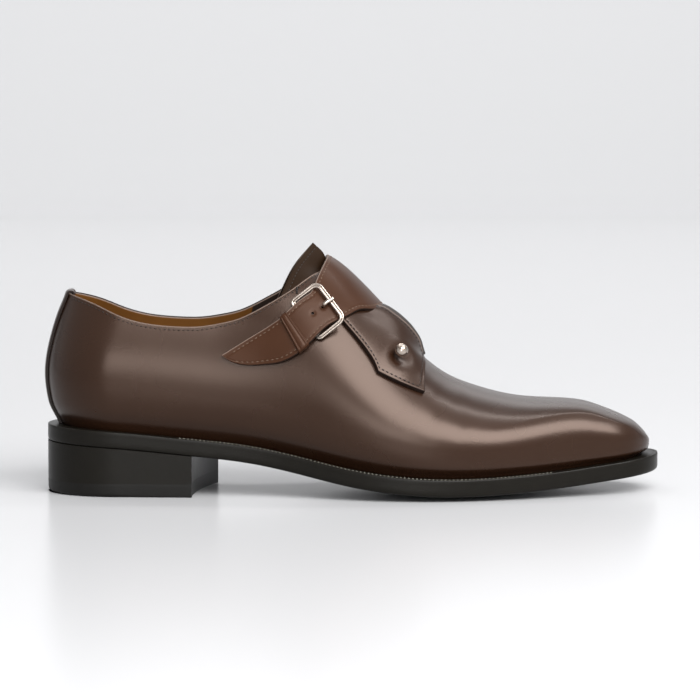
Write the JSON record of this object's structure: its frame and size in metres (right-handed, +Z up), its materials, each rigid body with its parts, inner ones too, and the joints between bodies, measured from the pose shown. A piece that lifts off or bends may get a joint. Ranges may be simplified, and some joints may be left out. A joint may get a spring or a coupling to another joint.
{
  "type": "monk strap shoe",
  "caption": "Leather monk strap shoe for the right foot: hollow upper with a buckled strap and a studded flap, on a welted sole with a stacked heel.",
  "frame": {"origin": "on the floor, under the middle of the shoe's bounding box", "axes": "+X from heel to toe, +Y towards the inner side of the foot, +Z up"},
  "size_m": [0.3058, 0.102, 0.1227],
  "materials": {
    "calf": "polished brown calf",
    "waxed_calf": "dull dark brown calf",
    "sole_leather": "waxed black edge",
    "lining_leather": "natural tan",
    "heel_rubber": "matt black",
    "nickel": "polished pale nickel plate"
  },
  "bodies": {
    "root": {"outsole": "sole_leather", "welt": "sole_leather", "insole": "lining_leather", "heel_stack": "sole_leather", "heel_top_piece": "heel_rubber", "upper": "calf", "back_strip": "calf", "tongue": "waxed_calf", "strap": "calf", "strap_keeper": "calf", "buckle_carrier": "calf", "buckle_frame": "nickel", "buckle_prong": "nickel", "inner_leaf": "waxed_calf", "stud_flap": "calf", "ball_stud": "nickel"}
  },
  "joints": []
}
